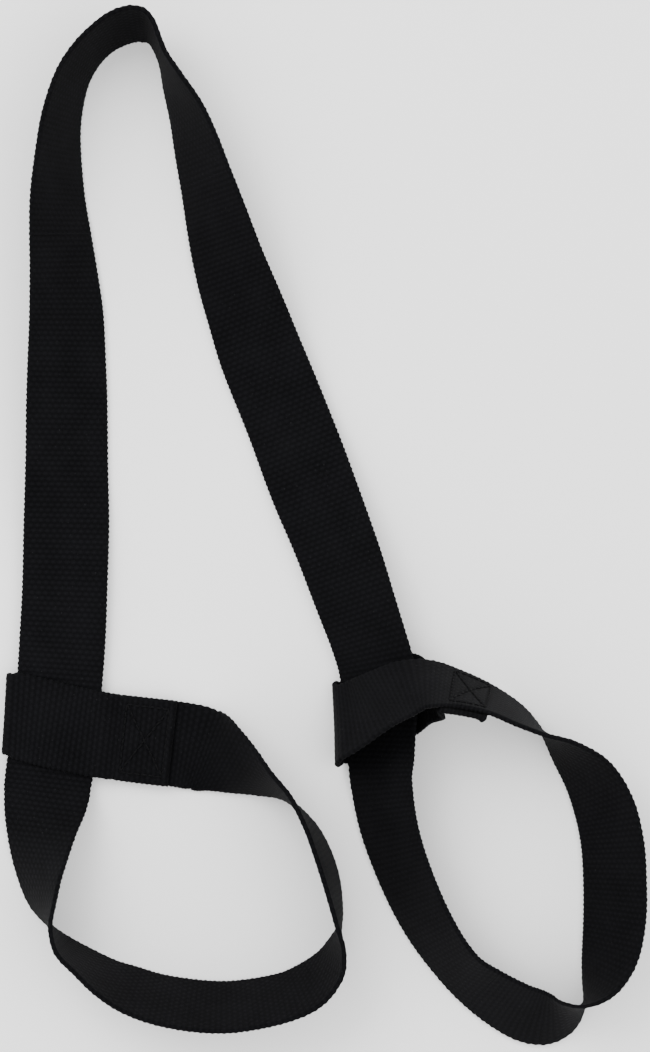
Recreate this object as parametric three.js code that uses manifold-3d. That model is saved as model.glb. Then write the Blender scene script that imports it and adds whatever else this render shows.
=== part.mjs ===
// A stretching strap: one length of heavy cotton webbing, laid flat with a U-turn in the middle.
// Each end is wrapped round the strap's own leg and sewn back on itself with a box stitch, which
// makes a keeper that slides along the leg and so a loop of adjustable size.
// Millimetres. X is right, Y is along the strap, +Z is up from the surface it lies on.

import * as THREE from 'three';
import Module from 'manifold-3d';
import { mergeVertices } from 'three/addons/utils/BufferGeometryUtils.js';

const wasm = await Module();
wasm.setup();

// Driving dimensions.
const WEB_WIDTH = 38;
const WEB_THICKNESS = 2.2;
const GAP = 0.3;
const LAYER = WEB_THICKNESS + GAP;
const COARSE_STEP = 4;

// The box stitch: a square-cornered frame with both diagonals, in thread.
const STITCH_START = 3;
const STITCH_LENGTH = 19;
const STITCH_HALF_HEIGHT = 15;
const THREAD_WIDTH = 1;
const THREAD_THICKNESS = 0.5;
const THREAD_STEPS = 10;

// Heights of the layers at the left keeper, above the surface.
const UNDERSTITCH = THREAD_THICKNESS + GAP;
const LEG_LIFT = UNDERSTITCH + LAYER;
const FLAP_SEWN = UNDERSTITCH + LAYER;
const FLAP_OVER = LEG_LIFT + LAYER;
const KEEPER_FACING = 83.5;
const OVER_LEG_FACING = 80.5;
const WRAP_FACING = 86.5;

// The strap's route, from the end of the left flap to the underside of the right leg, in the order
// in which one would follow the webbing. A station is [x, y, lift, lean, facing]. Lift is how far the
// lowest edge is above the surface. Lean turns the webbing about its length: 0 and 180 are flat, 90
// and 270 stand on edge. Facing is the compass direction of the first edge at a lean of 0; where it is
// left out, it is square to the route.
const STRETCHES = {
  left_keeper_webbing: [
    [-67.2, -96.1, FLAP_SEWN, 0, KEEPER_FACING],
    [-81.8, -94.4, FLAP_SEWN, 0, KEEPER_FACING],
    [-91, -93.3, FLAP_SEWN, 0, KEEPER_FACING],
    [-94.2, -92.9, FLAP_SEWN + 1.2, 0, KEEPER_FACING],
    [-97.4, -92.4, FLAP_OVER, 0, KEEPER_FACING],
    [-101.5, -91.7, FLAP_OVER, 0, KEEPER_FACING],
    [-117.5, -88.2, FLAP_OVER, 0, OVER_LEG_FACING],
    [-135.2, -83.8, FLAP_OVER, 0, WRAP_FACING],
    [-138, -83.2, FLAP_OVER, 0, WRAP_FACING],
    [-139.8, -82.9, FLAP_OVER - 0.7, 0, WRAP_FACING],
    [-140.5, -82.8, (FLAP_OVER + UNDERSTITCH) / 2, 0, WRAP_FACING],
    [-139.8, -82.9, UNDERSTITCH + 0.7, 0, WRAP_FACING],
    [-138, -83.2, UNDERSTITCH, 0, WRAP_FACING],
    [-135.2, -83.8, UNDERSTITCH, 0, WRAP_FACING],
    [-117.5, -88.2, UNDERSTITCH, 0, OVER_LEG_FACING],
    [-100, -92, UNDERSTITCH, 0, KEEPER_FACING],
    [-81.8, -94.4, UNDERSTITCH, 0, KEEPER_FACING],
  ],
  left_arm_webbing: [
    [-67.2, -96.1, UNDERSTITCH, 0, KEEPER_FACING],
    [-60, -97.3, 0.6, 0],
    [-53, -98.9, 0, 6],
    [-44.4, -102.9, 0, 33],
    [-36, -107.6, 0, 52],
    [-27.3, -112.6, 0, 69],
    [-16.4, -119.2, 0, 84],
    [-7.2, -131, 0, 94],
    [-2.3, -140.6, 0, 98],
    [2, -153, 0, 99],
    [5, -166, 0, 96],
  ],
  left_loop_bottom_webbing: [
    [6.2, -176, 0, 91],
    [5.2, -184, 0, 80],
    [2.2, -192.5, 0, 70],
    [-6, -201, 0, 63],
    [-18, -206.6, 0, 62],
    [-38.5, -210.6, 0, 60],
    [-55, -210.6, 0, 60],
    [-73, -207.6, 0, 61],
    [-86, -203.2, 0, 63],
    [-96, -198.2, 0, 69],
    [-106, -191.1, 0, 76],
  ],
  left_loop_side_webbing: [
    [-115, -184, 0, 82],
    [-120.4, -175.8, 0, 94],
    [-123.8, -166, 0, 110],
    [-125.4, -153, 0.2, 124],
    [-125, -135, 0, 145],
  ],
  left_leg_webbing: [
    [-123, -121, LEG_LIFT - 0.8, 167],
    [-122.2, -113, LEG_LIFT, 179],
    [-120.9, -104, LEG_LIFT, 180],
    [-118.9, -86, LEG_LIFT, 180],
    [-117.1, -69, LEG_LIFT, 180],
    [-115.8, -50, LEG_LIFT, 180],
    [-114.8, -28, LEG_LIFT, 180],
    [-114, 2, 1.5, 188],
    [-113.7, 34, 0, 200],
    [-113.6, 68, 0, 207],
    [-113.6, 92, 0, 214],
    [-114.8, 112, 0, 222],
  ],
  crown_webbing: [
    [-116.2, 128, 0, 228],
    [-117.3, 146, 0, 236],
    [-116.9, 163.5, 0, 243],
    [-115.2, 180.4, 0, 248],
    [-110.7, 196.2, 0, 252],
    [-104.5, 206.8, 0, 254],
    [-97.4, 214, 0, 254],
    [-90, 218.5, 0, 252],
    [-83.2, 220.2, 0, 252],
    [-79, 219.2, 0, 254, 80],
    [-76, 216.6, 0, 260, 64],
    [-73.6, 211.6, 0, 264, 44],
    [-70.8, 204.6, 0, 264, 30],
    [-67, 195.4, 0, 257],
    [-61, 181.9, 0, 247],
    [-57, 169.2, 0, 240],
  ],
  right_leg_webbing: [
    [-52.4, 152.5, 0, 233],
    [-47.3, 133.5, 0, 223],
    [-42, 114.5, 0, 214],
    [-35.5, 96, 0, 203],
    [-28.5, 76.5, 0, 192],
    [-16.2, 46, 0, 188],
    [-4.9, 16, 1.5, 191],
    [5.1, -9.7, LAYER, 197],
    [13, -32.3, LAYER, 203],
    [18.4, -48, LAYER, 207],
    [22.5, -62, LAYER, 209],
    [24.2, -76, LAYER, 211],
    [24.4, -89, LAYER, 216],
  ],
  right_loop_side_webbing: [
    [24.6, -101.4, LAYER, 221],
    [24.6, -112.9, 1, 226],
    [28.5, -134.4, 0, 230],
    [35.9, -155.2, 0, 233],
    [45.8, -175.8, 0, 236],
    [58.6, -193.9, 0, 238],
  ],
  right_loop_bottom_webbing: [
    [69.6, -203.3, 0, 233],
    [82.5, -211.6, 0, 228],
    [90.9, -215.2, 0, 226],
    [98.8, -216.4, 0, 230],
    [106.4, -214.8, 0, 244],
    [113.2, -210.2, 0, 264],
    [118, -203.6, 0, 284],
    [122, -196, 0, 298],
  ],
  right_arm_webbing: [
    [125.4, -186, 0, 308],
    [127.2, -171, 0, 313],
    [127.2, -154, 0, 313],
    [125.9, -138, 0, 313],
    [122.3, -123, 0, 311],
    [115.2, -109.2, 0, 303],
    [105, -98.6, 0, 288],
    [95.6, -90.8, 0, 270],
    [85.6, -83.4, 1, 259],
  ],
  right_keeper_webbing: [
    [73.5, -76.6, 4.5, 254],
    [58, -71, 13, 247],
    [45, -68.6, 22.5, 239],
    [36, -70, 24, 233],
    [22, -76.6, 15.5, 228],
    [13, -82.6, 9.8, 219, -80],
    [6.9, -86, 6.8, 210, -87],
    [4.9, -87.2, 3.2, 196, -88],
    [7.2, -87, 0.1, 181, -87],
    [13, -85.6, 0.2, 180, -80],
    [22.5, -80, 0.5, 180, -74],
    [34, -74.6, 0.2, 194, -74],
    [43, -71.6, 0.8, 217, -80],
    [48.4, -72, 9.6, 230, -76],
  ],
};

// The last stretch comes back under the arm and is sewn to it, this far short of where the arm starts and
// a little aside.
const SEWN_LENGTH = 25.5;
const SEWN_STATIONS = 4;
const SEWN_ASIDE = -2;

const UP = new THREE.Vector3(0, 0, 1);

// One station of the route: the middle of the webbing and the direction from edge to edge.
function station([x, y, lift, leanDegrees, facingDegrees], before, after) {
  const lean = THREE.MathUtils.degToRad(leanDegrees);
  const plan = new THREE.Vector3(before[1] - after[1], after[0] - before[0], 0).normalize();
  if (facingDegrees !== undefined) {
    const facing = THREE.MathUtils.degToRad(facingDegrees);
    plan.set(Math.cos(facing), Math.sin(facing), 0);
  }
  const standing = (WEB_WIDTH * Math.abs(Math.sin(lean)) + WEB_THICKNESS * Math.abs(Math.cos(lean))) / 2;
  const middle = new THREE.Vector3(x, y, lift + standing);
  const across = plan.multiplyScalar(Math.cos(lean)).addScaledVector(UP, Math.sin(lean));
  return { middle, across };
}

// A smooth route through stations. A place on it is a distance along the straight lines between them.
class Route {
  constructor(stations) {
    this.stations = stations;
    this.places = [0];
    for (let i = 1; i < stations.length; i += 1) {
      const hop = stations[i].middle.distanceTo(stations[i - 1].middle);
      this.places.push(this.places[i - 1] + hop);
    }
    this.slopes = stations.map((_, i) => this.slope(i));
  }

  get length() {
    return this.places[this.places.length - 1];
  }

  // The slope at a station is that of the line through its neighbours.
  slope(i) {
    const before = Math.max(i - 1, 0);
    const after = Math.min(i + 1, this.stations.length - 1);
    const run = this.places[after] - this.places[before];
    const rise = (key) =>
      this.stations[after][key].clone().sub(this.stations[before][key]).divideScalar(run);
    return { middle: rise('middle'), across: rise('across') };
  }

  // The cubic between two stations, and its derivative.
  blend(key, i, share, run) {
    const [a, b] = [this.stations[i][key], this.stations[i + 1][key]];
    const [slopeA, slopeB] = [this.slopes[i][key], this.slopes[i + 1][key]];
    const [s1, s2, s3] = [share, share ** 2, share ** 3];
    const value = new THREE.Vector3()
      .addScaledVector(a, 2 * s3 - 3 * s2 + 1)
      .addScaledVector(slopeA, (s3 - 2 * s2 + s1) * run)
      .addScaledVector(b, 3 * s2 - 2 * s3)
      .addScaledVector(slopeB, (s3 - s2) * run);
    const rate = new THREE.Vector3()
      .addScaledVector(a, (6 * s2 - 6 * s1) / run)
      .addScaledVector(slopeA, 3 * s2 - 4 * s1 + 1)
      .addScaledVector(b, (6 * s1 - 6 * s2) / run)
      .addScaledVector(slopeB, 3 * s2 - 2 * s1);
    return { value, rate };
  }

  // The middle of the webbing at a place, the direction across it and the one square to its face.
  frameAt(place) {
    const last = this.places.length - 2;
    let i = 0;
    while (i < last && this.places[i + 1] <= place) {
      i += 1;
    }
    const run = this.places[i + 1] - this.places[i];
    const share = (place - this.places[i]) / run;
    const middle = this.blend('middle', i, share, run);
    const along = middle.rate.normalize();
    const across = this.blend('across', i, share, run).value;
    across.normalize();
    const face = new THREE.Vector3().crossVectors(along, across).normalize();
    return { middle: middle.value, across, face };
  }
}

function toPoint(frame, across, face) {
  return frame.middle.clone().addScaledVector(frame.across, across).addScaledVector(frame.face, face);
}

// The places of the cross-sections between two places: close together where the stations are.
function sections(route, from, to) {
  const inside = route.places.filter((place) => place > from + GAP && place < to - GAP);
  const knots = [from, ...inside, to];
  const places = [from];
  for (let i = 1; i < knots.length; i += 1) {
    const steps = Math.ceil((knots[i] - knots[i - 1]) / COARSE_STEP) + 1;
    for (let step = 1; step <= steps; step += 1) {
      places.push(THREE.MathUtils.lerp(knots[i - 1], knots[i], step / steps));
    }
  }
  return places;
}

// A box bent along the route: its X becomes the place, its Y is across and its Z square to the face.
function bentBox(route, places, width, thickness) {
  const geometry = new THREE.BoxGeometry(1, width, thickness, places.length - 1, 1, 1);
  const corners = geometry.attributes.position;
  for (let i = 0; i < corners.count; i += 1) {
    const place = places[Math.round((corners.getX(i) + 0.5) * (places.length - 1))];
    const point = toPoint(route.frameAt(place), corners.getY(i), corners.getZ(i));
    corners.setXYZ(i, point.x, point.y, point.z);
  }
  geometry.computeVertexNormals();
  return geometry;
}

// One run of thread on the face of the webbing that is turned away from the keeper's inside.
function threadRun(route, [fromPlace, fromAcross], [toPlace, toAcross]) {
  const [dPlace, dAcross] = [toPlace - fromPlace, toAcross - fromAcross];
  const length = Math.hypot(dPlace, dAcross);
  const geometry = new THREE.BoxGeometry(1, THREAD_WIDTH, THREAD_THICKNESS, THREAD_STEPS, 1, 1);
  const corners = geometry.attributes.position;
  const height = WEB_THICKNESS / 2 + GAP + THREAD_THICKNESS / 2;
  for (let i = 0; i < corners.count; i += 1) {
    const along = corners.getX(i) * (length + THREAD_WIDTH) + length / 2;
    const aside = corners.getY(i);
    const place = fromPlace + (dPlace * along - dAcross * aside) / length;
    const across = fromAcross + (dAcross * along + dPlace * aside) / length;
    const point = toPoint(route.frameAt(place), across, corners.getZ(i) - height);
    corners.setXYZ(i, point.x, point.y, point.z);
  }
  return geometry;
}

function toSolid(geometry) {
  geometry.deleteAttribute('normal');
  geometry.deleteAttribute('uv');
  const merged = mergeVertices(geometry);
  return new wasm.Manifold(new wasm.Mesh({
    numProp: 3,
    vertProperties: merged.attributes.position.array,
    triVerts: new Uint32Array(merged.index.array),
  }));
}

function fromSolid(solid) {
  const mesh = solid.getMesh();
  const geometry = new THREE.BufferGeometry();
  geometry.setAttribute('position', new THREE.Float32BufferAttribute(mesh.vertProperties, 3));
  geometry.setIndex(new THREE.Uint32BufferAttribute(mesh.triVerts, 1));
  geometry.computeVertexNormals();
  return geometry;
}

// A box stitch, as one piece of thread: four sides and two diagonals.
function boxStitch(route, from, aside) {
  const to = from + STITCH_LENGTH;
  const [low, high] = [aside - STITCH_HALF_HEIGHT, aside + STITCH_HALF_HEIGHT];
  const corners = [[from, low], [to, low], [to, high], [from, high]];
  const runs = corners.map((corner, i) => [corner, corners[(i + 1) % corners.length]]);
  runs.push([corners[0], corners[2]], [corners[1], corners[3]]);
  const solids = runs.map(([start, end]) => toSolid(threadRun(route, start, end)));
  return fromSolid(solids.reduce((joined, solid) => joined.add(solid)));
}

function cottonWebbing() {
  return new THREE.MeshStandardMaterial({ color: 0x17181b, roughness: 0.93, metalness: 0 });
}

function blackThread() {
  return new THREE.MeshStandardMaterial({ color: 0x1c1d20, roughness: 0.6, metalness: 0 });
}

function addPiece(group, name, geometry, material) {
  const mesh = new THREE.Mesh(geometry, material);
  mesh.name = name;
  group.add(mesh);
}

// The whole route, first as far as the stations go, then back along the inside of the right arm.
const allStations = Object.values(STRETCHES).flat();
const stations = allStations.map((entry, i) =>
  station(entry, allStations[Math.max(i - 1, 0)], allStations[Math.min(i + 1, allStations.length - 1)]));
const outward = new Route(stations);

const starts = {};
let count = 0;
for (const [name, entries] of Object.entries(STRETCHES)) {
  starts[name] = outward.places[count];
  count += entries.length;
}

for (let i = 0; i < SEWN_STATIONS; i += 1) {
  const place = starts.right_keeper_webbing + SEWN_LENGTH * (1 - i / (SEWN_STATIONS - 1));
  const frame = outward.frameAt(place);
  stations.push({ middle: toPoint(frame, SEWN_ASIDE, LAYER), across: frame.across });
}
const route = new Route(stations);

const group = new THREE.Group();
const names = Object.keys(STRETCHES);
names.forEach((name, i) => {
  const from = starts[name] + (i === 0 ? 0 : GAP / 2);
  const to = i === names.length - 1 ? route.length : starts[names[i + 1]] - GAP / 2;
  const geometry = bentBox(route, sections(route, from, to), WEB_WIDTH, WEB_THICKNESS);
  addPiece(group, name, geometry, cottonWebbing());
});

const stitchReach = STITCH_START + STITCH_LENGTH;
const stitches = {
  left_box_stitch_needle_thread: [STITCH_START, 0],
  left_box_stitch_bobbin_thread: [starts.left_arm_webbing - stitchReach, 0],
  right_box_stitch_needle_thread: [starts.right_keeper_webbing + STITCH_START, 0],
  right_box_stitch_bobbin_thread: [route.length - stitchReach, -SEWN_ASIDE],
};
for (const [name, [place, aside]] of Object.entries(stitches)) {
  addPiece(group, name, boxStitch(route, place, aside), blackThread());
}

// The origin goes to the middle of the underside of the box round the whole strap.
const reach = new THREE.Box3().setFromObject(group, true);
const centre = reach.getCenter(new THREE.Vector3());
for (const mesh of group.children) {
  mesh.geometry.translate(-centre.x, -centre.y, -reach.min.z);
}

export default group;
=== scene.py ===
"""A stretching strap of black cotton webbing, laid loose on a pale surface and seen from straight above.

One length of webbing follows a route of stations. Each end goes round the strap's own leg and is sewn
back on itself with a box stitch. Metres, in the row frame.
"""

import math

import bpy
import numpy as np
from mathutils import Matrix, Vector


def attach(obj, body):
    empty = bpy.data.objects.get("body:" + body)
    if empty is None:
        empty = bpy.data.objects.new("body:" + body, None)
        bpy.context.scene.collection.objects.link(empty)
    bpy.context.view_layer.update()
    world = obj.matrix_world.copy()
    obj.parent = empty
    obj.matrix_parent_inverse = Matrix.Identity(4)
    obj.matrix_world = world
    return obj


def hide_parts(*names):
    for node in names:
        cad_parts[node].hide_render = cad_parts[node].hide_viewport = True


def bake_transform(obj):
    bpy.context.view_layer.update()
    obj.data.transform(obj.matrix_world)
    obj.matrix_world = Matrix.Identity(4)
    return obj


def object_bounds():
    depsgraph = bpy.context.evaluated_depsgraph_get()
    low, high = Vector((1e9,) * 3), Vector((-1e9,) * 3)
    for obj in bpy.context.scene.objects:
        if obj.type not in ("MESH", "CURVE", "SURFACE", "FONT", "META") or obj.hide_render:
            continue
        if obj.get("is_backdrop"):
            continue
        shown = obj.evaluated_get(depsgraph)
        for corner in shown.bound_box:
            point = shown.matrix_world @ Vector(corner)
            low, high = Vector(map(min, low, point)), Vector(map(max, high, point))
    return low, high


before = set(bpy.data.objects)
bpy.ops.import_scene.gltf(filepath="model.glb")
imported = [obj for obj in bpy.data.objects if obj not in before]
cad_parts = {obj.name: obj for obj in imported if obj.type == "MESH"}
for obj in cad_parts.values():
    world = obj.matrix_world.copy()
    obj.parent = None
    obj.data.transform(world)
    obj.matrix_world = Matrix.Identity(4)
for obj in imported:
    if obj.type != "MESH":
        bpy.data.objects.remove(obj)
cad_low, cad_high = (np.array(corner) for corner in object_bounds())

# Driving dimensions.
WEB_WIDTH = 0.038
WEB_THICKNESS = 0.0022
GAP = 0.0003
LAYER = WEB_THICKNESS + GAP
THREAD_THICKNESS = 0.0005
STITCH_START = 0.003
STITCH_LENGTH = 0.019
STITCH_HALF_HEIGHT = 0.015

# Heights of the layers at the left keeper, above the surface.
UNDERSTITCH = THREAD_THICKNESS + GAP
LEG_LIFT = UNDERSTITCH + LAYER
FLAP_SEWN = UNDERSTITCH + LAYER
FLAP_OVER = LEG_LIFT + LAYER
KEEPER_FACING = 83.5
OVER_LEG_FACING = 80.5
WRAP_FACING = 86.5

# The route, from the end of the left flap to the end of the right one: (x, y, lift, lean, facing). Lift
# is how far the lowest edge is above the surface. Lean turns the webbing about its length, in degrees:
# 0 and 180 are flat, 90 and 270 stand on edge. Facing is the compass direction of the first edge at a
# lean of 0; where it is left out, it is square to the route.
STRETCHES = {
    "left_keeper_webbing": [
        (-0.0672, -0.0961, FLAP_SEWN, 0, KEEPER_FACING),
        (-0.0818, -0.0944, FLAP_SEWN, 0, KEEPER_FACING),
        (-0.091, -0.0933, FLAP_SEWN, 0, KEEPER_FACING),
        (-0.0942, -0.0929, FLAP_SEWN + 0.0012, 0, KEEPER_FACING),
        (-0.0974, -0.0924, FLAP_OVER, 0, KEEPER_FACING),
        (-0.1015, -0.0917, FLAP_OVER, 0, KEEPER_FACING),
        (-0.1175, -0.0882, FLAP_OVER, 0, OVER_LEG_FACING),
        (-0.1352, -0.0838, FLAP_OVER, 0, WRAP_FACING),
        (-0.138, -0.0832, FLAP_OVER, 0, WRAP_FACING),
        (-0.1398, -0.0829, FLAP_OVER - 0.0007, 0, WRAP_FACING),
        (-0.1405, -0.0828, (FLAP_OVER + UNDERSTITCH) / 2, 0, WRAP_FACING),
        (-0.1398, -0.0829, UNDERSTITCH + 0.0007, 0, WRAP_FACING),
        (-0.138, -0.0832, UNDERSTITCH, 0, WRAP_FACING),
        (-0.1352, -0.0838, UNDERSTITCH, 0, WRAP_FACING),
        (-0.1175, -0.0882, UNDERSTITCH, 0, OVER_LEG_FACING),
        (-0.1, -0.092, UNDERSTITCH, 0, KEEPER_FACING),
        (-0.0818, -0.0944, UNDERSTITCH, 0, KEEPER_FACING),
    ],
    "left_arm_webbing": [
        (-0.0672, -0.0961, UNDERSTITCH, 0, KEEPER_FACING),
        (-0.06, -0.0973, 0.0006, 0),
        (-0.053, -0.0989, 0, 6),
        (-0.0444, -0.1029, 0, 33),
        (-0.036, -0.1076, 0, 52),
        (-0.0273, -0.1126, 0, 69),
        (-0.0164, -0.1192, 0, 84),
        (-0.0072, -0.131, 0, 94),
        (-0.0023, -0.1406, 0, 98),
        (0.002, -0.153, 0, 99),
        (0.005, -0.166, 0, 96),
    ],
    "left_loop_bottom_webbing": [
        (0.0062, -0.176, 0, 91),
        (0.0052, -0.184, 0, 80),
        (0.0022, -0.1925, 0, 70),
        (-0.006, -0.201, 0, 63),
        (-0.018, -0.2066, 0, 62),
        (-0.0385, -0.2106, 0, 60),
        (-0.055, -0.2106, 0, 60),
        (-0.073, -0.2076, 0, 61),
        (-0.086, -0.2032, 0, 63),
        (-0.096, -0.1982, 0, 69),
        (-0.106, -0.1911, 0, 76),
    ],
    "left_loop_side_webbing": [
        (-0.115, -0.184, 0, 82),
        (-0.1204, -0.1758, 0, 94),
        (-0.1238, -0.166, 0, 110),
        (-0.1254, -0.153, 0.0002, 124),
        (-0.125, -0.135, 0, 145),
    ],
    "left_leg_webbing": [
        (-0.123, -0.121, LEG_LIFT - 0.0008, 167),
        (-0.1222, -0.113, LEG_LIFT, 179),
        (-0.1209, -0.104, LEG_LIFT, 180),
        (-0.1189, -0.086, LEG_LIFT, 180),
        (-0.1171, -0.069, LEG_LIFT, 180),
        (-0.1158, -0.05, LEG_LIFT, 180),
        (-0.1148, -0.028, LEG_LIFT, 180),
        (-0.114, 0.002, 0.0015, 188),
        (-0.1137, 0.034, 0, 200),
        (-0.1136, 0.068, 0, 207),
        (-0.1136, 0.092, 0, 214),
        (-0.1148, 0.112, 0, 222),
    ],
    "crown_webbing": [
        (-0.1162, 0.128, 0, 228),
        (-0.1173, 0.146, 0, 236),
        (-0.1169, 0.1635, 0, 243),
        (-0.1152, 0.1804, 0, 248),
        (-0.1107, 0.1962, 0, 252),
        (-0.1045, 0.2068, 0, 254),
        (-0.0974, 0.214, 0, 254),
        (-0.09, 0.2185, 0, 252),
        (-0.0832, 0.2202, 0, 252),
        (-0.079, 0.2192, 0, 254, 80),
        (-0.076, 0.2166, 0, 260, 64),
        (-0.0736, 0.2116, 0, 264, 44),
        (-0.0708, 0.2046, 0, 264, 30),
        (-0.067, 0.1954, 0, 257),
        (-0.061, 0.1819, 0, 247),
        (-0.057, 0.1692, 0, 240),
    ],
    "right_leg_webbing": [
        (-0.0524, 0.1525, 0, 233),
        (-0.0473, 0.1335, 0, 223),
        (-0.042, 0.1145, 0, 214),
        (-0.0355, 0.096, 0, 203),
        (-0.0285, 0.0765, 0, 192),
        (-0.0162, 0.046, 0, 188),
        (-0.0049, 0.016, 0.0015, 191),
        (0.0051, -0.0097, LAYER, 197),
        (0.013, -0.0323, LAYER, 203),
        (0.0184, -0.048, LAYER, 207),
        (0.0225, -0.062, LAYER, 209),
        (0.0242, -0.076, LAYER, 211),
        (0.0244, -0.089, LAYER, 216),
    ],
    "right_loop_side_webbing": [
        (0.0246, -0.1014, LAYER, 221),
        (0.0246, -0.1129, 0.001, 226),
        (0.0285, -0.1344, 0, 230),
        (0.0359, -0.1552, 0, 233),
        (0.0458, -0.1758, 0, 236),
        (0.0586, -0.1939, 0, 238),
    ],
    "right_loop_bottom_webbing": [
        (0.0696, -0.2033, 0, 233),
        (0.0825, -0.2116, 0, 228),
        (0.0909, -0.2152, 0, 226),
        (0.0988, -0.2164, 0, 230),
        (0.1064, -0.2148, 0, 244),
        (0.1132, -0.2102, 0, 264),
        (0.118, -0.2036, 0, 284),
        (0.122, -0.196, 0, 298),
    ],
    "right_arm_webbing": [
        (0.1254, -0.186, 0, 308),
        (0.1272, -0.171, 0, 313),
        (0.1272, -0.154, 0, 313),
        (0.1259, -0.138, 0, 313),
        (0.1223, -0.123, 0, 311),
        (0.1152, -0.1092, 0, 303),
        (0.105, -0.0986, 0, 288),
        (0.0956, -0.0908, 0, 270),
        (0.0856, -0.0834, 0.001, 259),
    ],
    "right_keeper_webbing": [
        (0.0735, -0.0766, 0.0045, 254),
        (0.058, -0.071, 0.013, 247),
        (0.045, -0.0686, 0.0225, 239),
        (0.036, -0.07, 0.024, 233),
        (0.022, -0.0766, 0.0155, 228),
        (0.013, -0.0826, 0.0098, 219, -80),
        (0.0069, -0.086, 0.0068, 210, -87),
        (0.0049, -0.0872, 0.0032, 196, -88),
        (0.0072, -0.087, 0.0001, 181, -87),
        (0.013, -0.0856, 0.0002, 180, -80),
        (0.0225, -0.08, 0.0005, 180, -74),
        (0.034, -0.0746, 0.0002, 194, -74),
        (0.043, -0.0716, 0.0008, 217, -80),
        (0.0484, -0.072, 0.0096, 230, -76),
    ],
}

# The last stretch comes back under the right arm, from this far along it and a little aside.
SEWN_LENGTH = 0.0255
SEWN_STATIONS = 4
SEWN_ASIDE = -0.002

# The weave: ribs across the strap, each broken into dashes that step aside from rib to rib, loops on
# the edges, and how far each stands out.
RIB_PITCH = 0.0023
DASH_PITCH = 0.0030
WEAVE_RELIEF = 0.00014
SURFACE_STEP = 0.00062
EDGE_LOOP_RELIEF = 0.00022
EDGE_ROUNDING = 0.0009
END_ROUNDING = 0.0012
HEM_LENGTH = 0.003
HEM_SWELL = 0.0009
FOLD_RADIUS = 0.005
FOLD_GATHER = 0.0011
TIGHTNESS_RELIEF = 0.00012
SEAM_DIP = 0.00028
SEAM_DIP_REACH = 0.0009
RIB_SHARE = 0.5
DASH_SHARE = 0.7
# A rounded edge never gets thinner than this share, and loops stand out beyond this share of the width.
THINNEST = 0.02
LOOPED_EDGE = 0.94
# The back's weave is kept this many half widths away from the front's.
BACK_OFFSET = 4.0

# Slow variations along the strap: how much, over what length, and the seed of each.
WIDTH_VARIATION = 0.0002
WIDTH_WAVE = 0.02
WIDTH_SEED = 3
TIGHTNESS_WAVE = 0.012
TIGHTNESS_SEED = 5
TIGHTNESS_SPREAD = 2.4
WAVES = 5
SHORTEST_WAVE = 0.4
WAVE_GROWTH = 0.37

# Sewing: stitches with a small gap between, sunk into the cloth at both ends.
STITCH_PITCH = 0.0031
STITCH_GAP = 0.0005
STITCH_RADIUS = 0.00042
STITCH_RINGS = 9
STITCH_SIDES = 8
STITCH_CROWN = 0.00028
STITCH_WANDER = 0.00012
STITCH_SUNK = 0.4
STITCH_ARCH = 0.6
STITCH_TIP = 0.55
STITCH_TIP_ROUNDING = 0.4
PLY_RELIEF = 0.10
PLIES = 3
PLY_TURN = 14
# The stitches show on the face of the webbing that is turned away from the keeper's inside.
STITCHED_SIDE = -1

CAMERA_HEIGHT = 2.2
FRAMED_HEIGHT = 0.465
SENSOR_HEIGHT = 0.024
FLOOR_SIZE = 8.0
FLOOR_GAP = 0.0002
OUTLINE_SAMPLES = 1500

# Colours are linear.
COTTON_DARK = (0.0006, 0.0006, 0.0008)
COTTON_PALE = (0.0044, 0.0044, 0.0053)
COTTON_ROUGHNESS = 0.9
COTTON_SPECULAR = 0.05
COTTON_SHEEN = 0.009
# How strongly the weave's relief is painted into the cloth's colour: painted highlight on the ribs, painted
# shade in the hollows between them.
RIB_SHADE_CONTRAST = 0.17
YARNS_PER_RIB = 6.0
YARNS_PER_DASH = 5.0
LINT = (0.010, 0.010, 0.011)
THREAD_DARK = (0.0014, 0.0014, 0.0016)
THREAD_PALE = (0.0042, 0.0042, 0.0048)
THREAD_ROUGHNESS = 0.8
THREAD_SPECULAR = 0.06
FLOOR_COLOUR = (0.93, 0.93, 0.93)
SKY_STRENGTH = 1.9
SHEEN_ROUGHNESS = 0.45
PATCH_SCALE = 55.0
PATCH_CONTRAST = 0.7
GRAIN_SCALE = 2600.0
GRAIN_CONTRAST = 0.9
MIDDLE_TONE = 0.45
LINT_SCALE = 1100.0
LINT_RARITY = 0.83
YARN_BUMP = 0.35
COTTON_BUMP_STRENGTH = 0.55
COTTON_BUMP_DEPTH = 0.00012
FIBRE_SCALE = 2500.0
THREAD_BUMP_STRENGTH = 0.4
THREAD_BUMP_DEPTH = 0.00008
FLOOR_ROUGHNESS = 0.9
FLOOR_SPECULAR = 0.1

random = np.random.default_rng(7)


def normalised(vectors):
    return vectors / np.linalg.norm(vectors, axis=-1, keepdims=True)


def station(entry, before, after):
    """The middle of the webbing at a station and the direction from edge to edge."""
    x, y, lift, lean_degrees = entry[:4]
    lean = math.radians(lean_degrees)
    if len(entry) > 4:
        facing = math.radians(entry[4])
        plan = np.array([math.cos(facing), math.sin(facing), 0.0])
    else:
        plan = normalised(np.array([before[1] - after[1], after[0] - before[0], 0.0]))
    standing = (WEB_WIDTH * abs(math.sin(lean)) + WEB_THICKNESS * abs(math.cos(lean))) / 2
    middle = np.array([x, y, lift + standing])
    across = plan * math.cos(lean) + np.array([0.0, 0.0, math.sin(lean)])
    return middle, across


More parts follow.
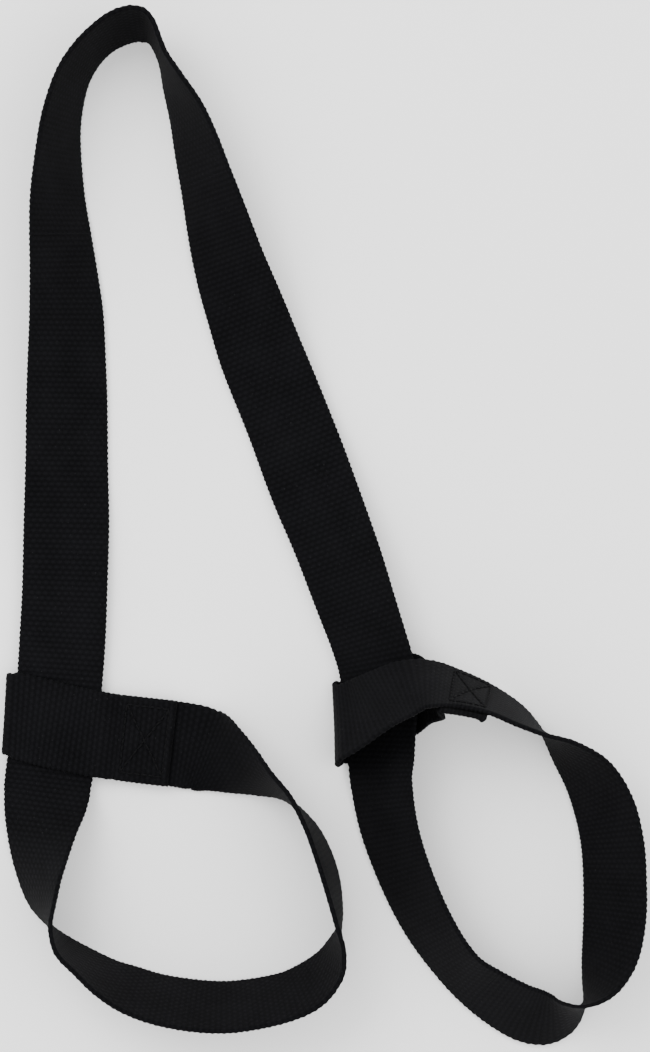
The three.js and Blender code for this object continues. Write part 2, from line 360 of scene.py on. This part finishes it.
class Route:
    """A smooth route through stations. A place on it is a distance along the lines between them."""

    def __init__(self, middles, acrosses):
        self.middles = np.array(middles)
        self.acrosses = np.array(acrosses)
        hops = np.linalg.norm(np.diff(self.middles, axis=0), axis=1)
        self.places = np.concatenate([[0.0], np.cumsum(hops)])
        self.length = self.places[-1]

    def slopes(self, values):
        """The slope at a station is that of the line through its neighbours."""
        before = np.maximum(np.arange(len(values)) - 1, 0)
        after = np.minimum(np.arange(len(values)) + 1, len(values) - 1)
        runs = self.places[after] - self.places[before]
        return (values[after] - values[before]) / runs[:, None]

    def curve(self, values, at):
        """The cubic through the values, and its derivative, at some places."""
        i = np.clip(np.searchsorted(self.places, at, side="right") - 1, 0, len(self.places) - 2)
        run = (self.places[i + 1] - self.places[i])[:, None]
        s = (at - self.places[i])[:, None] / run
        slopes = self.slopes(values)
        value = (
            values[i] * (2 * s**3 - 3 * s**2 + 1)
            + slopes[i] * (s**3 - 2 * s**2 + s) * run
            + values[i + 1] * (3 * s**2 - 2 * s**3)
            + slopes[i + 1] * (s**3 - s**2) * run
        )
        rate = (
            values[i] * (6 * s**2 - 6 * s) / run
            + slopes[i] * (3 * s**2 - 4 * s + 1)
            + values[i + 1] * (6 * s - 6 * s**2) / run
            + slopes[i + 1] * (3 * s**2 - 2 * s)
        )
        return value, rate

    def frames(self, at):
        """The middle of the webbing at each place, the direction across it and the one off its face."""
        middle, rate = self.curve(self.middles, at)
        across = normalised(self.curve(self.acrosses, at)[0])
        face = normalised(np.cross(rate, across))
        return middle, across, face

    def points(self, at, across_by, face_by):
        middle, across, face = self.frames(np.atleast_1d(at))
        return middle + across * np.reshape(across_by, (-1, 1)) + face * np.reshape(face_by, (-1, 1))


def strap_route():
    """The whole route, and the place where each stretch starts."""
    entries = [entry for stretch in STRETCHES.values() for entry in stretch]
    last = len(entries) - 1
    found = [
        station(entry, entries[max(i - 1, 0)], entries[min(i + 1, last)])
        for i, entry in enumerate(entries)
    ]
    middles = [middle for middle, _ in found]
    acrosses = [across for _, across in found]
    outward = Route(middles, acrosses)
    starts = {}
    count = 0
    for name, stretch in STRETCHES.items():
        starts[name] = outward.places[count]
        count += len(stretch)
    shares = 1 - np.arange(SEWN_STATIONS) / (SEWN_STATIONS - 1)
    middle, across, face = outward.frames(starts["right_keeper_webbing"] + SEWN_LENGTH * shares)
    middles.extend(middle + face * LAYER + across * SEWN_ASIDE)
    acrosses.extend(across)
    return Route(middles, acrosses), starts


def shift_to_frame(route):
    """How far the stations are from the row frame, whose origin is under the middle of the CAD box."""
    at = np.linspace(0, route.length, OUTLINE_SAMPLES)
    corners = [
        route.points(at, np.full(len(at), side * WEB_WIDTH / 2), np.full(len(at), up * WEB_THICKNESS / 2))
        for side in (-1, 1)
        for up in (-1, 1)
    ]
    low = np.min(np.concatenate(corners), axis=0)
    high = np.max(np.concatenate(corners), axis=0)
    shift = (cad_low + cad_high - low - high) / 2
    shift[2] = cad_low[2] - low[2]
    return shift


def make_camera(shift):
    """Straight above the middle of the picture, which the stations are measured from."""
    data = bpy.data.cameras.new("camera")
    data.sensor_fit = "VERTICAL"
    data.sensor_height = SENSOR_HEIGHT * 1000
    data.lens = SENSOR_HEIGHT * 1000 * CAMERA_HEIGHT / FRAMED_HEIGHT
    data.dof.use_dof = False
    camera = bpy.data.objects.new("camera", data)
    camera.location = (shift[0], shift[1], CAMERA_HEIGHT)
    bpy.context.scene.collection.objects.link(camera)
    bpy.context.scene.camera = camera


def new_mesh(name, points, quads, uvs=None):
    """A mesh object of quads. Where uvs are given, they are one pair per vertex."""
    mesh = bpy.data.meshes.new(name)
    mesh.vertices.add(len(points))
    mesh.vertices.foreach_set("co", np.asarray(points, dtype=np.float32).ravel())
    corners = np.asarray(quads, dtype=np.int32).ravel()
    mesh.loops.add(len(corners))
    mesh.loops.foreach_set("vertex_index", corners)
    mesh.polygons.add(len(quads))
    mesh.polygons.foreach_set("loop_start", np.arange(0, len(corners), 4, dtype=np.int32))
    mesh.update(calc_edges=True)
    mesh.validate()
    mesh.polygons.foreach_set("use_smooth", np.ones(len(quads), dtype=bool))
    if uvs is not None:
        layer = mesh.uv_layers.new(name="cloth")
        layer.data.foreach_set("uv", np.asarray(uvs, dtype=np.float32)[corners].ravel())
    made = bpy.data.objects.new(name, mesh)
    bpy.context.scene.collection.objects.link(made)
    return made


def seam_lines(start, aside):
    """The straight runs of a box stitch that starts at a place: four sides and two diagonals."""
    end = start + STITCH_LENGTH
    low = aside - STITCH_HALF_HEIGHT
    high = aside + STITCH_HALF_HEIGHT
    corners = [np.array(c) for c in ((start, low), (end, low), (end, high), (start, high))]
    runs = [(corners[i], corners[(i + 1) % 4]) for i in range(4)]
    return runs + [(corners[0], corners[2]), (corners[1], corners[3])]


def seam_depth(u, v, start, aside):
    """How far the stitches of one box pull the cloth in at each point (place, across)."""
    depth = np.zeros(np.broadcast(u, v).shape)
    for a, b in seam_lines(start, aside):
        run = b - a
        share = np.clip(((u - a[0]) * run[0] + (v - a[1]) * run[1]) / (run @ run), 0, 1)
        distance = np.hypot(u - a[0] - share * run[0], v - a[1] - share * run[1])
        depth = np.maximum(depth, np.exp(-((distance / SEAM_DIP_REACH) ** 2)))
    return depth * SEAM_DIP


def wander(at, scale, seed):
    """A slow, smooth, seeded variation along the strap, from about -1 to 1."""
    phases = np.random.default_rng(seed).uniform(0, 2 * np.pi, WAVES)
    waves = [
        np.sin(at / (scale * (SHORTEST_WAVE + WAVE_GROWTH * k)) + phase)
        for k, phase in enumerate(phases)
    ]
    return sum(waves) / len(waves) ** 0.5


def bending(route, at):
    """The curvature of the route at each place, in turns of the direction per metre."""
    middle = route.frames(at)[0]
    along = normalised(np.gradient(middle, axis=0))
    step = np.linalg.norm(np.gradient(middle, axis=0), axis=1)
    return np.linalg.norm(np.gradient(along, axis=0), axis=1) / step


def rounded(distance, radius):
    """The share of the full thickness at a distance from an edge that is rounded off."""
    return np.sqrt(np.clip(1 - (1 - np.clip(distance / radius, 0, 1)) ** 2, THINNEST, 1))


def walked_length(route, at):
    """The length of cloth from the strap's start to each place."""
    fine = np.linspace(0, route.length, int(route.length / SURFACE_STEP))
    hops = np.linalg.norm(np.diff(route.frames(fine)[0], axis=0), axis=1)
    return np.interp(at, fine, np.concatenate([[0.0], np.cumsum(hops)]))


def weave_height(along, spread):
    """How far the ribs and dashes stand out at each point (length of cloth, share of the half width)."""
    rib_turn = np.pi * along[:, None] / RIB_PITCH
    dash_turn = np.pi * spread[None, :] * WEB_WIDTH / DASH_PITCH
    dashes = DASH_SHARE * np.cos(rib_turn) * np.cos(dash_turn)
    return WEAVE_RELIEF * (RIB_SHARE * np.cos(2 * rib_turn) + dashes)


def sideways(route, at, along, spread):
    """How far each point is to the side. The width varies, gathers in tight folds and ends in loops."""
    half_width = WEB_WIDTH / 2 + WIDTH_VARIATION * wander(along, WIDTH_WAVE, WIDTH_SEED)
    half_width = half_width - FOLD_GATHER * np.clip(bending(route, at) * FOLD_RADIUS, 0, 1) ** 2
    loops = EDGE_LOOP_RELIEF * np.cos(2 * np.pi * along / RIB_PITCH) * 0.5
    looped = np.sign(spread) * (np.abs(spread) > LOOPED_EDGE)
    return spread[None, :] * (half_width + loops)[:, None] + looped[None, :] * loops[:, None]


def cloth_side(route, at, along, spread, sign, seams):
    """The points of one face of the webbing. The stitched one has the hems and the seams' dips."""
    middle, across, face = route.frames(at)
    from_end = np.minimum(at, route.length - at)
    rounding = rounded(WEB_WIDTH / 2 * (1 - np.abs(spread)), EDGE_ROUNDING)
    end_rounding = rounded(from_end, END_ROUNDING)
    thickness = np.full(len(at), WEB_THICKNESS / 2)
    if sign == STITCHED_SIDE:
        half_hem = HEM_LENGTH / 2
        thickness = thickness + HEM_SWELL * np.exp(-(((from_end - half_hem) / half_hem) ** 4))
    surface = (thickness * end_rounding)[:, None] * rounding[None, :]
    surface = surface + weave_height(along, spread) * rounding[None, :] ** 2 * end_rounding[:, None]
    if sign == STITCHED_SIDE:
        for seam in seams:
            surface = surface - seam_depth(at[:, None], spread[None, :] * WEB_WIDTH / 2, *seam)
    tightness = TIGHTNESS_RELIEF * wander(along, TIGHTNESS_WAVE, TIGHTNESS_SEED)
    puckers = tightness[:, None] * np.cos(TIGHTNESS_SPREAD * spread)[None, :]
    offset = sign * surface + puckers
    lateral = sideways(route, at, along, spread)
    return middle[:, None, :] + across[:, None, :] * lateral[..., None] + face[:, None, :] * offset[..., None]


def tube_quads(rows, around):
    """The quads between the cross-sections of a tube."""
    i, j = np.meshgrid(np.arange(rows), np.arange(around), indexing="ij")
    beside = (j + 1) % around
    corners = [i * around + j, i * around + beside, (i + 1) * around + beside, (i + 1) * around + j]
    return np.stack(corners, axis=-1).reshape(-1, 4)


def end_caps(rows, around, columns):
    """The quads that close both ends of a flat tube, each from one face to the other."""
    caps = []
    for first, flip in ((0, True), (rows * around, False)):
        for k in range(columns):
            quad = [first + k, first + k + 1, first + around - 2 - k, first + around - 1 - k]
            caps.append(quad[::-1] if flip else quad)
    return np.array(caps)


def webbing(name, route, start, end, seams):
    """One stretch of webbing with its weave, edge loops, seams and, at the strap's ends, a sealed hem."""
    rows = max(2, int((end - start) / SURFACE_STEP))
    columns = int(WEB_WIDTH / SURFACE_STEP)
    at = np.linspace(start, end, rows + 1)
    spread = np.linspace(-1, 1, columns + 1)
    along = walked_length(route, at)
    front = cloth_side(route, at, along, spread, 1, seams)
    back = cloth_side(route, at, along, spread, -1, seams)
    ring = np.concatenate([front, back[:, ::-1]], axis=1)
    around = ring.shape[1]
    u = np.repeat(along[:, None], around, axis=1)
    v = np.concatenate([spread, spread[::-1] + BACK_OFFSET]) * WEB_WIDTH / 2
    uvs = np.stack([u, np.broadcast_to(v, u.shape)], axis=-1).reshape(-1, 2)
    quads = np.concatenate([tube_quads(rows, around), end_caps(rows, around, columns)])
    made = new_mesh(name, ring.reshape(-1, 3), quads, uvs)
    return made, along[-1] - along[0]


def stitch(route, start, end, height):
    """The rings of one stitch of thread between two points (place, across) on a face."""
    share = np.linspace(0, 1, STITCH_RINGS)
    u = start[0] + (end[0] - start[0]) * share
    v = start[1] + (end[1] - start[1]) * share
    arch = np.sin(np.pi * share)
    rise = height - STITCH_RADIUS + (STITCH_CROWN + STITCH_RADIUS) * arch**STITCH_ARCH
    middle, across, face = route.frames(u)
    centre = middle + across * v[:, None] + face * (STITCHED_SIDE * rise)[:, None]
    along = normalised(np.gradient(centre, axis=0))
    side = normalised(np.cross(along, face))
    up = np.cross(side, along)
    turn = np.linspace(0, 2 * np.pi, STITCH_SIDES, endpoint=False)
    twist = 1 + PLY_RELIEF * np.sin(PLIES * turn[None, :] + PLY_TURN * share[:, None])
    fullness = STITCH_TIP + (1 - STITCH_TIP) * arch[:, None] ** STITCH_TIP_ROUNDING
    radius = STITCH_RADIUS * twist * fullness
    ring = np.cos(turn)[None, :, None] * side[:, None, :] + np.sin(turn)[None, :, None] * up[:, None, :]
    return centre[:, None, :] + ring * radius[..., None]


def stitch_quads(count):
    """The quads of a number of separate stitches, each closed at both ends."""
    corners = STITCH_RINGS * STITCH_SIDES
    one = tube_quads(STITCH_RINGS - 1, STITCH_SIDES)
    tubes = np.concatenate([one + k * corners for k in range(count)])
    caps = []
    for first in range(0, count * corners, corners):
        final = first + corners - STITCH_SIDES
        for m in range(1, STITCH_SIDES - 2, 2):
            caps.append([first, first + m + 2, first + m + 1, first + m])
            caps.append([final, final + m, final + m + 1, final + m + 2])
    return np.concatenate([tubes, np.array(caps)])


def box_stitches(name, route, start, aside):
    """All the stitches of one box and its diagonals, on one face, as one object of separate stitches."""
    height = WEB_THICKNESS / 2 - SEAM_DIP * STITCH_SUNK
    rings = []
    for a, b in seam_lines(start, aside):
        count = max(1, round(np.linalg.norm(b - a) / STITCH_PITCH))
        direction = (b - a) / np.linalg.norm(b - a)
        for k in range(count):
            jitter = random.normal(0, STITCH_WANDER, 4).reshape(2, 2)
            low = a + (b - a) * k / count + direction * STITCH_GAP / 2 + jitter[0]
            high = a + (b - a) * (k + 1) / count - direction * STITCH_GAP / 2 + jitter[1]
            rings.append(stitch(route, low, high, height))
    return new_mesh(name, np.array(rings).reshape(-1, 3), stitch_quads(len(rings)))


class Shader:
    """A material's node tree, with short calls to add and join nodes."""

    def __init__(self, name):
        self.material = bpy.data.materials.new(name)
        self.material.use_nodes = True
        self.tree = self.material.node_tree
        self.surface = self.tree.nodes["Principled BSDF"]

    def add(self, kind, **settings):
        node = self.tree.nodes.new(kind)
        for key, value in settings.items():
            setattr(node, key, value)
        return node

    def join(self, source, target):
        self.tree.links.new(source, target)

    def math(self, operation, first, second=None):
        node = self.add("ShaderNodeMath", operation=operation)
        for socket, value in zip(node.inputs, (first, second)):
            if isinstance(value, (int, float)):
                socket.default_value = value
            elif value is not None:
                self.join(value, socket)
        return node.outputs[0]

    def noise(self, vector, scale, detail=2.0):
        node = self.add("ShaderNodeTexNoise")
        node.inputs["Scale"].default_value = scale
        node.inputs["Detail"].default_value = detail
        self.join(vector, node.inputs["Vector"])
        return node.outputs["Fac"]

    def ramp(self, factor, stops):
        node = self.add("ShaderNodeValToRGB")
        elements = node.color_ramp.elements
        while len(elements) < len(stops):
            elements.new(0.5)
        for element, (place, colour) in zip(elements, stops):
            element.position = place
            element.color = (*colour, 1.0)
        self.join(factor, node.inputs["Fac"])
        return node.outputs["Color"]

    def bump(self, height, strength, depth):
        node = self.add("ShaderNodeBump")
        node.inputs["Strength"].default_value = strength
        node.inputs["Distance"].default_value = depth
        self.join(height, node.inputs["Height"])
        self.join(node.outputs["Normal"], self.surface.inputs["Normal"])


def cotton_webbing():
    """Near-black cotton: the weave's relief painted in, ribs paler as painted highlight and the hollows
    between them darker as painted shade, with lint and faded patches.
    """
    shader = Shader("cotton_webbing")
    surface = shader.surface
    surface.inputs["Roughness"].default_value = COTTON_ROUGHNESS
    surface.inputs["Specular IOR Level"].default_value = COTTON_SPECULAR
    surface.inputs["Sheen Weight"].default_value = COTTON_SHEEN
    surface.inputs["Sheen Roughness"].default_value = SHEEN_ROUGHNESS
    cloth = shader.add("ShaderNodeUVMap", uv_map="cloth").outputs["UV"]
    split = shader.add("ShaderNodeSeparateXYZ")
    shader.join(cloth, split.inputs[0])
    rib_turn = shader.math("MULTIPLY", split.outputs[0], math.pi / RIB_PITCH)
    dash_turn = shader.math("MULTIPLY", split.outputs[1], 2 * math.pi / DASH_PITCH)
    # Painted shade: the ribs and dashes of the weave's relief are painted paler and the hollows between them
    # darker.
    rib_shade = shader.math("COSINE", shader.math("MULTIPLY", rib_turn, 2.0))
    dash_shade = shader.math("MULTIPLY", shader.math("COSINE", rib_turn), shader.math("COSINE", dash_turn))
    rib_shade = shader.math("ADD", rib_shade, dash_shade)
    yarn_u = shader.math("SINE", shader.math("MULTIPLY", rib_turn, YARNS_PER_RIB))
    yarn_v = shader.math("SINE", shader.math("MULTIPLY", dash_turn, YARNS_PER_DASH))
    yarn = shader.math("MULTIPLY", yarn_u, yarn_v)
    patches = shader.noise(cloth, PATCH_SCALE, 3.0)
    grain = shader.noise(cloth, GRAIN_SCALE)
    tone = shader.math("ADD", shader.math("MULTIPLY", rib_shade, RIB_SHADE_CONTRAST), MIDDLE_TONE)
    for noise, contrast in ((patches, PATCH_CONTRAST), (grain, GRAIN_CONTRAST)):
        change = shader.math("MULTIPLY", shader.math("SUBTRACT", noise, 0.5), contrast)
        tone = shader.math("ADD", tone, change)
    colour = shader.ramp(tone, [(0.0, COTTON_DARK), (1.0, COTTON_PALE)])
    lint = shader.math("GREATER_THAN", shader.noise(cloth, LINT_SCALE, 0.0), LINT_RARITY)
    speck = shader.add("ShaderNodeMix", data_type="RGBA")
    shader.join(lint, speck.inputs["Factor"])
    shader.join(colour, speck.inputs["A"])
    speck.inputs["B"].default_value = (*LINT, 1.0)
    shader.join(speck.outputs["Result"], surface.inputs["Base Color"])
    height = shader.math("ADD", shader.math("MULTIPLY", yarn, YARN_BUMP), grain)
    shader.bump(height, COTTON_BUMP_STRENGTH, COTTON_BUMP_DEPTH)
    return shader.material


def sewing_thread():
    """Black thread: twisted, a little less rough than the cloth."""
    shader = Shader("sewing_thread")
    surface = shader.surface
    surface.inputs["Roughness"].default_value = THREAD_ROUGHNESS
    surface.inputs["Specular IOR Level"].default_value = THREAD_SPECULAR
    surface.inputs["Sheen Weight"].default_value = COTTON_SHEEN
    place = shader.add("ShaderNodeTexCoord").outputs["Object"]
    fibres = shader.noise(place, FIBRE_SCALE)
    shader.join(shader.ramp(fibres, [(0.3, THREAD_DARK), (0.7, THREAD_PALE)]), surface.inputs["Base Color"])
    shader.bump(fibres, THREAD_BUMP_STRENGTH, THREAD_BUMP_DEPTH)
    return shader.material


def pale_floor():
    shader = Shader("pale_floor")
    shader.surface.inputs["Base Color"].default_value = (*FLOOR_COLOUR, 1.0)
    shader.surface.inputs["Roughness"].default_value = FLOOR_ROUGHNESS
    shader.surface.inputs["Specular IOR Level"].default_value = FLOOR_SPECULAR
    return shader.material


def make_floor():
    half = FLOOR_SIZE / 2
    corners = [(x * half, y * half, -FLOOR_GAP) for x, y in ((-1, -1), (1, -1), (1, 1), (-1, 1))]
    floor = new_mesh("floor", corners, [[0, 1, 2, 3]])
    floor.data.materials.append(pale_floor())
    floor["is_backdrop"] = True


def make_light(name, place, size, watts):
    """A soft square light that faces the strap."""
    data = bpy.data.lights.new(name, "AREA")
    data.size = size
    data.energy = watts
    light = bpy.data.objects.new(name, data)
    light.location = place
    light.rotation_euler = (-Vector(place)).to_track_quat("-Z", "Y").to_euler()
    bpy.context.scene.collection.objects.link(light)


def make_sky():
    world = bpy.data.worlds.new("studio")
    bpy.context.scene.world = world
    world.use_nodes = True
    background = world.node_tree.nodes["Background"]
    background.inputs["Color"].default_value = (1.0, 1.0, 1.0, 1.0)
    background.inputs["Strength"].default_value = SKY_STRENGTH


route, starts = strap_route()
shift = shift_to_frame(route)
make_camera(shift)
route = Route(route.middles + shift, route.acrosses)

make_floor()
make_light("key", (-0.9, 0.9, 1.5), 1.2, 30)
make_light("fill", (1.2, -0.4, 1.4), 1.6, 12)
make_sky()

reach = STITCH_START + STITCH_LENGTH
# Each box stitch: where it starts along the route, how far aside it is, its body and its CAD node.
boxes = {
    "left_needle_stitches": (STITCH_START, 0, "left_keeper", "left_box_stitch_needle_thread"),
    "left_bobbin_stitches": (
        starts["left_arm_webbing"] - reach, 0, "left_keeper", "left_box_stitch_bobbin_thread"),
    "right_needle_stitches": (
        starts["right_keeper_webbing"] + STITCH_START, 0, "right_keeper", "right_box_stitch_needle_thread"),
    "right_bobbin_stitches": (
        route.length - reach, -SEWN_ASIDE, "right_keeper", "right_box_stitch_bobbin_thread"),
}
seams = [(place, aside) for place, aside, _, _ in boxes.values()]

cloth_pieces = {
    "left_loop_cloth": ["left_keeper_webbing", "left_arm_webbing", "left_loop_bottom_webbing"],
    "left_leg_cloth": ["left_loop_side_webbing", "left_leg_webbing"],
    "crown_cloth": ["crown_webbing"],
    "right_leg_cloth": ["right_leg_webbing", "right_loop_side_webbing"],
    "right_loop_cloth": ["right_loop_bottom_webbing", "right_arm_webbing", "right_keeper_webbing"],
}
# Where a piece bends between two bodies: the bodies, and the places in the frame it starts and ends.
bends = {
    "left_loop_cloth": ("left_half", "left_keeper", (-0.1084, -0.1853, 0), (-0.0809, -0.1375, 0)),
    "crown_cloth": ("left_half", "right_half", (-0.0844, 0, 0), (-0.0684, 0, 0)),
    "right_loop_cloth": ("right_half", "right_keeper", (0.0676, -0.1983, 0), (0.0876, -0.1635, 0)),
}
rides = {"left_leg_cloth": "left_half", "right_leg_cloth": "right_half"}

order = list(STRETCHES)
cotton = cotton_webbing()
for name, nodes in cloth_pieces.items():
    follower = order.index(nodes[-1]) + 1
    start = starts[nodes[0]]
    end = starts[order[follower]] if follower < len(order) else route.length
    piece, length = webbing(name, route, start, end, seams)
    piece.data.materials.append(cotton)
    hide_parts(*nodes)
    if name in bends:
        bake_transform(piece)
    else:
        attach(piece, rides[name])

thread = sewing_thread()
for name, (place, aside, body, node) in boxes.items():
    piece = box_stitches(name, route, place, aside)
    piece.data.materials.append(thread)
    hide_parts(node)
    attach(piece, body)
